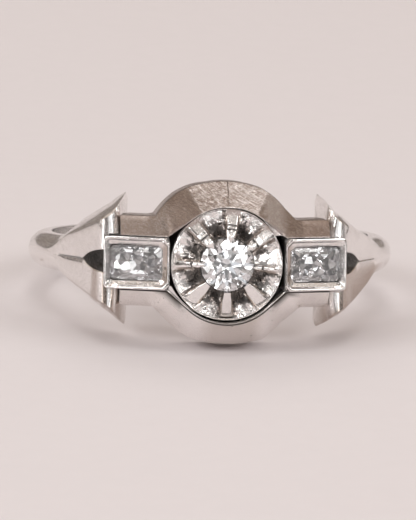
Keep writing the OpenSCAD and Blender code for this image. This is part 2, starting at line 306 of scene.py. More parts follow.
@dataclass(frozen=True)
class WhiteGold:
    """White gold: a slightly warm metal with hairlines, a fine grain and some dirt.

    A noise is given by its features to a millimetre and its detail. A piece's marks say where it is painted black
    (mostly painted shade in recesses, partly real dirt), where it is tinted brown as painted shade and dark
    reflections, and where it is worn, brushed, cut or pitted.
    """

    name: str
    tone: Colour = (0.95, 0.925, 0.91)
    soiled: Colour = (0.30, 0.24, 0.20)
    black_shade_and_dirt: Colour = (0.030, 0.020, 0.014)
    dull: Colour = (0.42, 0.33, 0.27)
    filed: Colour = (0.98, 0.96, 0.95)
    rough: float = 0.12
    rough_spread: float = 0.08
    scratch_rough: float = 0.08
    dark_rough: float = 0.35
    worn_rough: float = 0.2
    dark_metal: float = 0.8
    relief: float = 0.000004
    grain: float = 0.25
    hairlines: float = 0.5
    dirt: float = 0.25
    crackle: float = 0.0
    strokes: float = 0.0
    pits: float = 0.0
    patches: Span = (1.1, 4.0)
    fine: Span = (14.0, 3.0)
    dirt_edge: Span = (0.54, 0.74)
    specks: Dots = Dots(2.4, (0.16, 0.05), (0.52, 0.66))
    black_pits: Dots = Dots(2.3, (0.13, 0.06), (0.46, 0.52))
    pit_field: Span = (0.8, 1.0)
    crumbs: Span = (4.0, 3.0)
    crumb_edge: Span = (0.47, 0.56)
    waves: Span = (2.3, 3.0)
    waves_h: float = 0.6
    flats: float = 3.2
    flats_h: float = 1.6
    hair: tuple[Scratches, Scratches] = (
        Scratches(3.0, 1.0, (1, 14, 1), (0, 0, 33), 0.5, 0.018),
        Scratches(2.2, 1.0, (16, 1, 1), (20, 0, -24), 0.47, 0.012),
    )
    filing: tuple[Scratches, Scratches] = (
        Scratches(2.2, 0.0, (0.5, 12, 0.5), (0, 0, 32), 0.5, 0.05),
        Scratches(2.6, 0.0, (0.5, 14, 0.5), (0, 0, -26), 0.54, 0.04),
    )

    def _black_shade_and_dirt(self, r: Recipe) -> Value:
        """Share of black: mostly painted shade in recesses and partly real dirt where the piece marks it, real dirt in
        crumbs where it is pitted, and in stray pits.
        """
        black_shade_and_dirt = r.mark("soil").max(r.mark("pits") * r.ease(r.noise(*self.crumbs), *self.crumb_edge))
        return black_shade_and_dirt.max(self.black_pits.share(r, r.noise(*self.pit_field)) * self.pits) if self.pits else black_shade_and_dirt

    def material(self) -> bpy.types.Material:
        """Builds the material."""
        r = Recipe(self.name)
        patch, fine = r.noise(*self.patches), r.noise(*self.fine)
        scratch = self.hair[0].share(r).max(self.hair[1].share(r))
        specks = self.specks.share(r, patch)
        # Real dirt of the metal, in random patches and specks.
        soil = r.ease(patch * 0.5 + fine * 0.5, *self.dirt_edge) * self.dirt + specks * self.dirt
        height = fine * self.grain - scratch * self.hairlines - specks
        if self.crackle:
            cuts = r.noise(*self.waves) * self.waves_h + r.chips(self.flats) * self.flats_h
            height = height + cuts * r.mark("cut") * self.crackle
        # The brown tint here is painted shade and dark reflections, laid where the piece marks it.
        tone = r.tint(r.tint(self.tone, self.soiled, soil), self.dull, r.mark("dull"))
        if self.strokes:
            stroke = self.filing[0].share(r).max(self.filing[1].share(r)) * r.mark("brushed")
            tone = r.tint(tone, self.filed, stroke * self.strokes)
        # Black where the piece marks it is mostly painted shade, partly real dirt; the pits are real.
        black_shade_and_dirt = self._black_shade_and_dirt(r)
        rough = fine * self.rough_spread + patch * self.rough_spread + (self.rough - self.rough_spread)
        rough = rough + scratch * self.scratch_rough + black_shade_and_dirt * self.dark_rough
        return r.principled({
            "Base Color": r.tint(tone, self.black_shade_and_dirt, black_shade_and_dirt),
            "Metallic": 1 - black_shade_and_dirt * self.dark_metal,
            "Roughness": rough + r.mark("worn") * self.worn_rough,
            "Normal": r.bump(height, self.relief),
        })


@dataclass(frozen=True)
class Diamond:
    """Cut diamond: clear, sharp and slightly cool. Chips are small flats in its facets."""

    name: str
    tone: Colour = (0.985, 0.99, 1.0)
    chips: float = 0.0
    haze: float = 0.04
    chip_scale: float = 2.7
    cool: Colour = (0.95, 0.96, 1.0)
    lustre: Span = (2.0, 2.0)
    lustre_edge: Span = (0.4, 0.7)

    def material(self) -> bpy.types.Material:
        """Builds the material."""
        r = Recipe(self.name)
        cut = {"Normal": r.bump(r.chips(self.chip_scale), self.chips)} if self.chips else {}
        return r.principled({
            **cut,
            "Base Color": r.tint(self.tone, self.cool, r.ease(r.noise(*self.lustre), *self.lustre_edge)),
            "Roughness": 0.0,
            "IOR": 2.417,
            "Transmission Weight": 1 - self.haze,
        })


@dataclass(frozen=True)
class Paper:
    """Plain pale floor."""

    name: str = "pale_floor"
    tone: Colour = (0.735, 0.685, 0.69)
    rough: float = 0.75
    shade: float = 0.97
    tooth: Span = (0.9, 4.0)

    def material(self) -> bpy.types.Material:
        """Builds the material."""
        r = Recipe(self.name)
        darker = tuple(c * self.shade for c in self.tone)
        return r.principled({"Base Color": r.tint(self.tone, darker, r.noise(*self.tooth)), "Roughness": self.rough})


# ---- Studio


@dataclass(frozen=True)
class Lamp:
    """Soft rectangular lamp that faces the ring: its middle and size in metres, its power in watts and its colour."""

    name: str
    place: Point
    size: Span
    power: float
    tone: Colour = (1, 1, 1)
    aim: Point = (0, 0, 0.004)

    def hang(self) -> None:
        """Adds the lamp to the scene."""
        data = bpy.data.lights.new(self.name, "AREA")
        data.shape, data.size, data.size_y = "RECTANGLE", *self.size
        data.energy, data.color = self.power, self.tone
        lamp = bpy.data.objects.new(self.name, data)
        lamp.location = self.place
        lamp.rotation_mode = "QUATERNION"
        lamp.rotation_quaternion = (Vector(self.place) - Vector(self.aim)).to_track_quat("Z", "Y")
        bpy.context.scene.collection.objects.link(lamp)


@dataclass
class Studio:
    """Floor, soft lights and the camera."""

    distance: float = 315.3
    azimuth: float = -4.7
    elevation: float = 3.94
    roll: float = 0.95
    focal_px: float = 5800.8
    frame_px: Span = (416, 520)
    centre_px: Span = (209.6, 249.9)
    sensor: float = 36.0
    clip: Span = (0.01, 10.0)
    floor_side: float = 1.6
    world: Colour = (0.080, 0.070, 0.064)
    lamps: tuple[Lamp, ...] = (
        Lamp("ceiling_lamp", (0.0, 0.28, 0.50), (1.90, 0.80), 2.6, (1, 0.86, 0.75)),
        Lamp("back_lamp", (0.03, 0.305, 0.45), (0.52, 0.34), 0.52, (0.98, 0.98, 1)),
        Lamp("back_haze", (0.0, 0.90, 0.26), (1.90, 0.50), 0.36, (1, 0.82, 0.70)),
        Lamp("left_lamp", (-0.47, -0.20, 0.30), (0.34, 0.24), 1.3),
        Lamp("right_lamp", (0.47, -0.20, 0.30), (0.34, 0.24), 1.1),
        Lamp("top_lamp", (0.0, -0.09, 0.50), (0.16, 0.08), 0.25),
        Lamp("front_panel", (0.062, -0.441, 0.401), (0.90, 0.44), 0.56, (1, 0.93, 0.87)),
        Lamp("front_strip", (0.063, -0.445, 0.219), (0.34, 0.12), 0.30),
        Lamp("left_panel", (-0.62, 0.16, 0.17), (0.60, 0.26), 0.14, (1, 0.88, 0.80)),
        Lamp("right_panel", (0.62, 0.16, 0.17), (0.60, 0.26), 0.14, (1, 0.88, 0.80)),
        Lamp("low_panel", (0.03, -0.60, 0.095), (0.46, 0.10), 0.12, (0.94, 0.97, 1)),
        Lamp("low_lamp", (0.195, -0.545, 0.060), (0.17, 0.045), 0.08),
        Lamp("standing_lamp", (-0.457, -0.203, 0.06), (0.07, 0.12), 0.10),
        Lamp("high_spark", (-0.02, -0.30, 0.50), (0.03, 0.03), 0.05),
        Lamp("side_spark", (-0.36, -0.40, 0.12), (0.03, 0.03), 0.05),
    )

    def camera(self) -> None:
        """Places the camera at the ring's front, a little above the middle of its width."""
        a, e, turn = (math.radians(v) for v in (self.azimuth, self.elevation, self.roll))
        back = Vector((math.sin(a) * math.cos(e), math.sin(e), math.cos(a) * math.cos(e)))
        right = Vector((0, 1, 0)).cross(back).normalized()
        up = back.cross(right)
        right, up = right * math.cos(turn) + up * math.sin(turn), up * math.cos(turn) - right * math.sin(turn)
        per_px = self.distance / self.focal_px
        aim = right * (self.frame_px[0] / 2 - self.centre_px[0]) * per_px
        aim -= up * (self.frame_px[1] / 2 - self.centre_px[1]) * per_px
        data = bpy.data.cameras.new("camera")
        data.sensor_width = self.sensor
        data.lens = self.sensor * self.focal_px / max(self.frame_px)
        data.clip_start, data.clip_end = self.clip
        camera = bpy.data.objects.new("camera", data)
        axes = Matrix((REST.direction(right), REST.direction(up), REST.direction(back))).transposed()
        camera.matrix_world = Matrix.Translation(REST.point(aim + back * self.distance)) @ axes.to_4x4()
        bpy.context.scene.collection.objects.link(camera)
        bpy.context.scene.camera = camera

    def floor(self) -> None:
        """Lays the plain floor under the ring."""
        bm = bmesh.new()
        bmesh.ops.create_grid(bm, x_segments=1, y_segments=1, size=self.floor_side / 2)
        floor = new_object("floor", bm)
        floor.data.materials.append(Paper().material())

    def build(self) -> None:
        """Sets up the whole studio."""
        self.camera()
        self.floor()
        world = bpy.data.worlds.new("room")
        world.use_nodes = True
        world.node_tree.nodes["Background"].inputs["Color"].default_value = (*self.world, 1)
        bpy.context.scene.world = world
        for lamp in self.lamps:
            lamp.hang()
        bpy.context.scene.view_settings.view_transform = "Standard"


# ---- Mesh helpers


def new_object(name: str, bm: bmesh.types.BMesh, place: Matrix | None = None) -> bpy.types.Object:
    """Turns a bmesh into a linked object at the origin.

    Args:
        name: the object's name.
        bm: its mesh, which is freed.
        place: matrix applied to the mesh.

    Returns:
        The object.
    """
    mesh = bpy.data.meshes.new(name)
    bm.to_mesh(mesh)
    bm.free()
    if place is not None:
        mesh.transform(place)
    made = bpy.data.objects.new(name, mesh)
    bpy.context.scene.collection.objects.link(made)
    return made


def loft(sections: Sequence[Section]) -> bmesh.types.BMesh:
    """Draws a closed skin over sections of equally many points, and closes both ends.

    Args:
        sections: closed outlines in order along the piece.

    Returns:
        The mesh, with its normals outward.
    """
    bm = bmesh.new()
    ring = [bm.verts.new(p) for p in sections[0]]
    edges = [bm.edges.new(pair) for pair in zip(ring, ring[1:] + ring[:1])]
    for section in sections[1:]:
        made = bmesh.ops.extrude_edge_only(bm, edges=edges)["geom"]
        fresh = {v for v in made if isinstance(v, bmesh.types.BMVert)}
        ring = [next(e.other_vert(v) for e in v.link_edges if e.other_vert(v) in fresh) for v in ring]
        for v, p in zip(ring, section):
            v.co = p
        edges = [e for e in made if isinstance(e, bmesh.types.BMEdge) and fresh.issuperset(e.verts)]
    bmesh.ops.holes_fill(bm, edges=bm.edges, sides=0)
    tidy(bm)
    return bm


def tidy(bm: bmesh.types.BMesh, reach: float = 0.0005) -> None:
    """Merges doubles closer than reach millimetres and turns every face outward."""
    bmesh.ops.remove_doubles(bm, verts=bm.verts, dist=reach)
    bmesh.ops.dissolve_degenerate(bm, dist=reach, edges=bm.edges)
    bmesh.ops.recalc_face_normals(bm, faces=bm.faces)


def soften(bm: bmesh.types.BMesh, width: float, above: float, angle: float = 32.0) -> None:
    """Rounds the sharp edges that lie above a height.

    Args:
        bm: the mesh.
        width: width of the rounding, in millimetres.
        above: the height, in millimetres.
        angle: least angle between an edge's faces, in degrees.
    """
    near = [e for e in bm.edges if e.is_manifold and min(v.co.z for v in e.verts) > above]
    sharp = [e for e in near if e.calc_face_angle() > math.radians(angle)]
    bmesh.ops.bevel(
        bm, geom=sharp, offset=width, offset_type="OFFSET", segments=2, profile=0.5,
        affect="EDGES", clamp_overlap=False, material=-1,
    )


def absorb(bm: bmesh.types.BMesh, part: bmesh.types.BMesh) -> None:
    """Adds a part to a mesh and frees it."""
    mesh = bpy.data.meshes.new("part")
    part.to_mesh(mesh)
    part.free()
    bm.from_mesh(mesh)
    bpy.data.meshes.remove(mesh)


def mirrored(bm: bmesh.types.BMesh, axis: str) -> None:
    """Adds the mirror image across X or Y and merges the two along the middle."""
    geom = bm.verts[:] + bm.edges[:] + bm.faces[:]
    bmesh.ops.mirror(bm, geom=geom, matrix=Matrix.Identity(4), merge_dist=MERGE, axis=axis)
    tidy(bm)


def piece(
    name: str, bm: bmesh.types.BMesh, material: bpy.types.Material, slot: str, crease: float, marks: dict[str, Mark],
) -> bpy.types.Object:
    """Turns a bmesh of the ring's own frame into a finished piece of the ring.

    Args:
        name: the piece's name.
        bm: its mesh, in millimetres.
        material: its finish.
        slot: not used.
        crease: angle in degrees past which an edge stays sharp.
        marks: for each of the finish's marks, its share from 0 to 1 at a place.

    Returns:
        The piece.
    """
    for face in bm.faces:
        face.smooth = True
    bm.verts.ensure_lookup_table()
    shares = {mark: [share(v.co) for v in bm.verts] for mark, share in marks.items()}
    made = new_object(name, bm, REST.matrix())
    for mark, values in shares.items():
        made.data.attributes.new(mark, "FLOAT", "POINT").data.foreach_set("value", values)
    made.data.set_sharp_from_angle(angle=math.radians(crease))
    made.data.materials.append(material)
    flats = made.modifiers.new("flats", "WEIGHTED_NORMAL")
    flats.keep_sharp = True
    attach(made, "root")
    return made


# ---- Shank


@dataclass
class Shank:
    """Band with split, arrow-shaped shoulders that end in rolls beside the head, and the floor under the settings."""

    finish: WhiteGold
    bore: float = 8.6
    band_half: float = 0.95
    band_round: float = 0.964
    band_thick: float = 1.22
    band_lift: float = 0.03
    band_arc: float = math.radians(80.0)
    flank_r: float = 9.82
    flank: float = math.radians(24.83)
    roll_edge: float = 5.3
    roll_top: float = 9.45
    roll_plain: float = 0.7
    roll_table: Rows = ((0.0, 0.66), (1.4, 0.68), (2.0, 0.73), (2.6, 0.79), (3.5, 0.84))
    foot: Span = (4.92, 6.6)
    bore_angles: tuple[float, ...] = (-90.0, 24.83, 49.0, 54.54)
    steps: tuple[int, ...] = (48, 18, 40)
    split_steps: tuple[int, int, int] = (34, 48, 60)
    outline: Rows = ((4.98, 3.12), (5.12, 3.42), (6.0, 2.5), (9.98, 0.0))
    flare: Rows = (
        (4.9, 0.02), (5.12, 0.08), (5.5, 0.20), (6.1, 0.30), (6.6, 0.25), (7.4, 0.13), (8.3, 0.03),
        (9.0, 0.0), (12.0, 0.0),
    )
    flare_depth: float = 1.6
    wing_start: float = 0.8
    wing_fade: Span = (9.3, 8.0)
    split_x: float = 7.36
    split_half: float = 0.64
    split_ease: float = 0.36
    box_x: float = 6.12
    box_ease: float = 0.04
    box_half: float = 1.41
    groove: float = 0.05
    groove_fade: Span = (9.2, 8.7)
    groove_half: float = 0.07
    groove_share: float = 0.3
    rim: float = 0.05
    rim_share: float = 0.5
    rim_least: float = 0.01
    rim_step: float = 0.02
    least: float = 0.05
    shares: tuple[float, ...] = (0.0, 0.33, 0.66, 1.0)
    walls: int = 9
    wall_first: float = 0.04
    inner_share: float = 0.6
    inner_depths: tuple[float, ...] = (0.75, 0.35)
    inner_band: tuple[float, ...] = (0.0, 0.3, 0.6, 0.8, 0.95)
    solve_steps: int = 6
    solve_share: float = 0.6
    seam: Span = (0.001, 0.0001)
    crease: float = 38.0
    sag: float = 0.18
    sag_x: Window = (5.2, 6.2, 8.6, 9.8)
    sag_y: Span = (1.0, 1.9)
    floor_r: float = 9.15
    floor_disc: float = 3.03
    floor_lap: float = 0.01
    floor_end: float = 6.9
    floor_half: float = 1.36
    floor_hole: float = 0.9
    disc_grid: tuple[int, int] = (6, 72)
    strip_grid: tuple[int, int] = (20, 10)
    light_hole: Point = (3.2, 4.45, 0.5)
    hole_along: Span = (0.1, 0.4)
    hole_across: Span = (0.3, 0.7)
    # Painted shade: black over the floor plate under the head and boxes, and deep in the split.
    shaded_floor: Point = (5.0, 3.08, 8.7)
    split_shade: float = 0.34
    split_shade_end: float = 7.5
    split_shade_depth: Span = (0.35, 0.7)
    split_shade_near: Span = (0.12, 0.04)
    groove_soil: float = 0.9
    groove_soil_x: Window = (7.3, 7.5, 8.3, 8.5)
    groove_soil_y: Span = (0.02, 0.0)
    # Painted shade and dark reflections: under the tips, along the lower outer edges, in bands on the lower left roll
    # and over the lower right shoulder.
    shade_y: float = -0.3
    shade_x: float = 9.4
    tip_shade: float = 0.7
    tip_depth: Span = (0.1, 0.4)
    tip_x: Span = (6.6, 5.8)
    tip_y: Span = (-2.2, -2.6)
    rim_shade: float = 0.8
    rim_inset: Span = (0.035, 0.0)
    rim_depth: Span = (0.3, 0.2)
    painted_roll_bands: tuple[tuple[float, Window], ...] = (
        (0.6, (6.60, 6.69, 6.89, 6.98)), (0.8, (6.14, 6.23, 6.39, 6.48)),
        (0.8, (5.76, 5.85, 5.95, 6.04)), (0.6, (5.24, 5.33, 5.67, 5.76)),
    )
    shoulder_shade: Span = (0.7, 0.35)
    shoulder_x: Window = (5.9, 6.2, 8.4, 9.2)
    shoulder_edge_x: Window = (6.6, 7.2, 8.2, 8.8)
    shoulder_inset: Span = (0.75, 0.25)

    def _roll(self, half: float) -> tuple[Vector, Vector]:
        """Middle and half axes of an oval roll of that half width, which touches the flank and keeps its height."""
        nx, nz = math.cos(self.flank), math.sin(self.flank)
        left = self.flank_r - (self.roll_edge + half) * nx - self.roll_top * nz
        tall = ((half * nx) ** 2 - left ** 2) / (2 * left * nz)
        return Vector((self.roll_edge + half, self.roll_top - tall)), Vector((half, tall))

    def _profile(self, u: float, half: float) -> Vector:
        """Outer line of the shank in the X-Z plane.

        Args:
            u: 0 at the back of the band, 1 where the flank starts, 2 where the roll starts, 3 at the roll's end.
            half: half width of the roll.

        Returns:
            The point.
        """
        normal = Vector((math.cos(self.flank), math.sin(self.flank)))
        if u <= 1:
            a = blend(-math.pi / 2, self.flank, u)
            return Vector((math.cos(a), math.sin(a))) * self.flank_r
        centre, axes = self._roll(half)
        start = math.atan2(axes.y * normal.y, axes.x * normal.x)
        if u <= 2:
            end = centre + Vector((math.cos(start) * axes.x, math.sin(start) * axes.y))
            return (normal * self.flank_r).lerp(end, u - 1)
        down = Vector(((self.foot[0] - centre.x) / axes.x, (self.foot[1] - centre.y) / axes.y))
        wall = math.atan2(down.y, down.x) % math.tau - math.acos(min(1.0, 1 / down.length))
        a = blend(start, wall, u - 2)
        return centre + Vector((math.cos(a) * axes.x, math.sin(a) * axes.y))

    def _front(self, x: float) -> float:
        """Height of the plain front surface over x."""
        normal = Vector((math.cos(self.flank), math.sin(self.flank)))
        centre = self._roll(self.roll_plain)[0]
        if x >= normal.x * self.flank_r:
            return math.sqrt(max(0.0, self.flank_r ** 2 - x * x))
        if x >= centre.x + normal.x * self.roll_plain:
            return (self.flank_r - normal.x * x) / normal.y
        return centre.y + math.sqrt(max(0.0, self.roll_plain ** 2 - (x - centre.x) ** 2))

    def _split(self, x: float) -> float:
        """Distance of the split's edge from the middle, at x."""
        if x >= self.split_x:
            return 0.0
        half = self.split_half * (1 - math.exp((x - self.split_x) / self.split_ease))
        return blend(self.box_half, half, smooth(self.box_x, self.box_x + self.box_ease, x))

    def _solve(self, u: float, edge: Callable[[float], float]) -> Vector:
        """Point on the front surface at station u whose distance from the middle is edge(x)."""
        y = edge(self._profile(u, self.roll_plain).x)
        for _ in range(self.solve_steps):
            spot = self._profile(u, table(y, self.roll_table))
            y = blend(y, edge(spot.x), self.solve_share)
        return Vector((spot.x, y, spot.y))

    def _band_point(self, k: int, top: Vector, low: Vector) -> Vector:
        """Point k of the round band's half section, counted from the middle of its back."""
        last = len(self.shares) + 1 + self.walls
        a = self.band_arc * min(1.0, k / (last - 2))
        y = min(self.band_half, self.band_round * math.sin(a))
        height = self.band_thick + self.band_round * (math.cos(a) - 1) + self.band_lift
        if k > last - 2:
            height *= (last + 1 - k) / 3
        spot = low + (top - low).normalized() * height * (top - low).length / self.band_thick
        return Vector((spot.x, y, spot.y))

    def _across(self, u: float, near: Vector, edge: Vector, low: Vector) -> Section:
        """Outer points of a shoulder's half section.

        Args:
            u: the station.
            near: the split's edge on the front surface.
            edge: the shoulder's outer edge on the front surface.
            low: place on the finger hole, in the X-Z plane.

        Returns:
            Points from the split's edge over the front and down the side wall.
        """
        rim = min(self.rim, near.y * self.rim_share)
        points = [near + Vector((0, rim, 0))]
        first = near.y + max(rim + self.rim_step, min(self.groove_half, (edge.y - near.y) * self.groove_share))
        for share in self.shares:
            y = blend(first, max(edge.y - self.rim, first), share)
            spot = self._profile(u, table(y, self.roll_table))
            points.append(Vector((spot.x, y, spot.y)))
        for j in range(self.walls + 1):
            spot = Vector((edge.x, edge.z)).lerp(low, j / (self.walls + 1) if j else self.wall_first)
            depth = min(1.0, max(0.0, self._front(spot.x) - spot.y) / self.flare_depth)
            y = table(spot.x, self.outline) + table(spot.x, self.flare) * math.sin(math.pi / 2 * depth)
            points.append(Vector((spot.x, max(y, near.y + self.least), spot.y)))
        return points

    def _section(self, u: float) -> Section:
        """Half section at station u, for y of 0 and above."""
        i = min(2, int(u))
        a = math.radians(blend(self.bore_angles[i], self.bore_angles[i + 1], u - i))
        low = Vector((math.cos(a), math.sin(a))) * self.bore
        top = self._profile(u, self.roll_plain)
        on_shoulder = u > self.wing_start
        winged = smooth(*self.wing_fade, top.x) if on_shoulder else 0.0
        near = self._solve(u, self._split)
        across = self._across(u, near, self._solve(u, lambda x: table(x, self.outline)), low)
        foot = Vector((low.x, near.y, low.y))
        down, depth = (foot - near).normalized(), (foot - near).length
        rim = max(min(self.rim, near.y * self.rim_share), self.rim_least)
        inner = [foot] + [near + down * d for d in (depth * self.inner_share, *self.inner_depths, rim)]
        points = []
        for share, spot in zip(self.inner_band, inner):
            middle = low.lerp(top, share)
            points.append(Vector((middle.x, 0, middle.y)).lerp(spot, winged))
        if near.y < self.seam[1] and on_shoulder:
            ditch = self.groove * smooth(*self.groove_fade, top.x)
            across[0] -= Vector((math.cos(self.flank), 0, math.sin(self.flank))) * ditch
        points += [self._band_point(k, top, low).lerp(spot, winged) for k, spot in enumerate(across)]
        wide = table(low.x, self.outline) + table(low.x, self.flare)
        points.append(Vector((low.x, blend(self.band_half, max(wide, near.y + self.least), winged), low.y)))
        return points

    def _plate(
        self, grid: tuple[int, int], place: Callable[[float, float], Span], hole: Callable[[float, float], bool],
    ) -> bmesh.types.BMesh:
        """One plate of the floor, curved round the finger.

        Args:
            grid: faces along and across the plate.
            place: X and Y for shares from 0 to 1 along and across the plate.
            hole: whether a face with its middle at these shares is left out.

        Returns:
            The closed plate.
        """
        bm = bmesh.new()
        bmesh.ops.create_grid(bm, x_segments=grid[0], y_segments=grid[1], size=0.5)
        gone = [f for f in bm.faces if hole(f.calc_center_median().x + 0.5, f.calc_center_median().y + 0.5)]
        bmesh.ops.delete(bm, geom=gone, context="FACES")
        for v in bm.verts:
            x, y = place(v.co.x + 0.5, v.co.y + 0.5)
            v.co = Vector((x, y, math.sqrt(self.floor_r ** 2 - x * x)))
        bmesh.ops.remove_doubles(bm, verts=bm.verts, dist=MERGE)
        made = bmesh.ops.extrude_face_region(bm, geom=bm.faces[:])["geom"]
        for v in (g for g in made if isinstance(g, bmesh.types.BMVert)):
            v.co.z = math.sqrt(self.bore ** 2 - v.co.x ** 2)
        bmesh.ops.recalc_face_normals(bm, faces=bm.faces)
        return bm

    def _disc_place(self, along: float, across: float) -> Span:
        """X and Y on the floor's disc, for shares along its radius and around it."""
        r = blend(self.floor_hole, self.floor_disc, along)
        return r * math.cos(across * math.tau), r * math.sin(across * math.tau)

    def _strip_place(self, along: float, across: float) -> Span:
        """X and Y on the right strip of the floor, whose first rows follow the disc and the light hole's edges."""
        half, hole = self.floor_half, self.light_hole[2]
        y = table(across, ((0, -half), (self.hole_across[0], -hole), (self.hole_across[1], hole), (1, half)))
        start = math.sqrt((self.floor_disc - self.floor_lap) ** 2 - y * y)
        first, last = ((share, x) for share, x in zip(self.hole_along, self.light_hole))
        return table(along, ((0, start), first, last, (1, self.floor_end))), y

    def _in_hole(self, along: float, across: float) -> bool:
        """Whether these shares of a strip lie in the light hole."""
        return self.hole_along[0] < along < self.hole_along[1] and self.hole_across[0] < across < self.hole_across[1]

    def _floor(self) -> list[bmesh.types.BMesh]:
        """The floor's disc under the head and its two strips under the boxes."""
        def left_place(along: float, across: float) -> Span:
            """X and Y on the left strip."""
            x, y = self._strip_place(along, across)
            return -x, y

        disc = self._plate(self.disc_grid, self._disc_place, lambda along, across: False)
        places = (left_place, self._strip_place)
        return [disc] + [self._plate(self.strip_grid, place, self._in_hole) for place in places]

    def _shade_and_dirt(self, spot: Vector) -> float:
        """Share of black at a place: painted shade deep in the split and over the floor under the head, and real pits
        in the groove.
        """
        r, x, y = math.hypot(spot.x, spot.z), abs(spot.x), abs(spot.y)
        if spot.z <= 0:
            return 0.0
        reach_x, reach_y, low = self.shaded_floor
        if y < reach_y and x < reach_x and low < r < self.floor_r + self.least:
            return 1.0
        pits = self.groove_soil * smooth(*self.groove_soil_y, y) * within(self.groove_soil_x, x) if spot.x < 0 else 0.0
        if x >= self.split_shade_end or r <= self.bore + self.least:
            return pits
        deep = smooth(*self.split_shade_depth, self._front(x) - spot.z)
        return max(pits, self.split_shade * deep * smooth(*self.split_shade_near, y - self._split(x)))

    def _painted_shade(self, spot: Vector) -> float:
        """Share of painted shade and dark reflections at a place: on the lower right shoulder, beside the lower left
        roll, along the lower outer edges and under the tips.
        """
        x, front = abs(spot.x), self._front(abs(spot.x)) - spot.z
        on_hole = math.hypot(x, spot.z) < self.bore + self.least
        if spot.z < 0 or spot.y > self.shade_y or x > self.shade_x or on_hole:
            return 0.0
        inset = table(x, self.outline) - abs(spot.y)
        tip = self.tip_shade * smooth(*self.tip_depth, front) * smooth(*self.tip_x, x) * smooth(*self.tip_y, spot.y)
        dull = max(tip, self.rim_shade * smooth(*self.rim_inset, inset) * smooth(*self.rim_depth, front))
        if spot.x < 0:
            return max(dull, *(share * within(window, x) for share, window in self.painted_roll_bands))
        start, end, high, far = self.shoulder_x
        face, edge = self.shoulder_shade
        edge *= smooth(*self.shoulder_inset, inset) * within(self.shoulder_edge_x, x)
        return max(dull, min(1.0, (face * smooth(far, high, x) + edge) * smooth(start, end, x)))

    def build(self) -> bpy.types.Object:
        """Builds the shank, puts it in place of its node and returns it."""
        stations = {i + j / n for i, n in enumerate(self.steps) for j in range(n)} | {float(len(self.steps))}
        first, last, count = self.split_steps
        stations |= {1 + j / count for j in range(first, last)}
        bm = loft([self._section(u) for u in sorted({round(u, 4) for u in stations})])
        for axis, reach in enumerate(self.seam):
            seam = [f for f in bm.faces if all(abs(v.co[axis]) < reach for v in f.verts)]
            bmesh.ops.delete(bm, geom=seam, context="FACES")
        mirrored(bm, "Y")
        mirrored(bm, "X")
        for v in bm.verts:
            if v.co.x > 0 and v.co.z > 0:
                v.co.y -= self.sag * within(self.sag_x, v.co.x) * smooth(*self.sag_y, abs(v.co.y))
        for part in self._floor():
            absorb(bm, part)
        marks = {"soil": self._shade_and_dirt, "dull": self._painted_shade}
        made = piece("ring_shank", bm, self.finish.material(), "shank", self.crease, marks)
        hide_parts("shank")
        return made


# ---- Rails


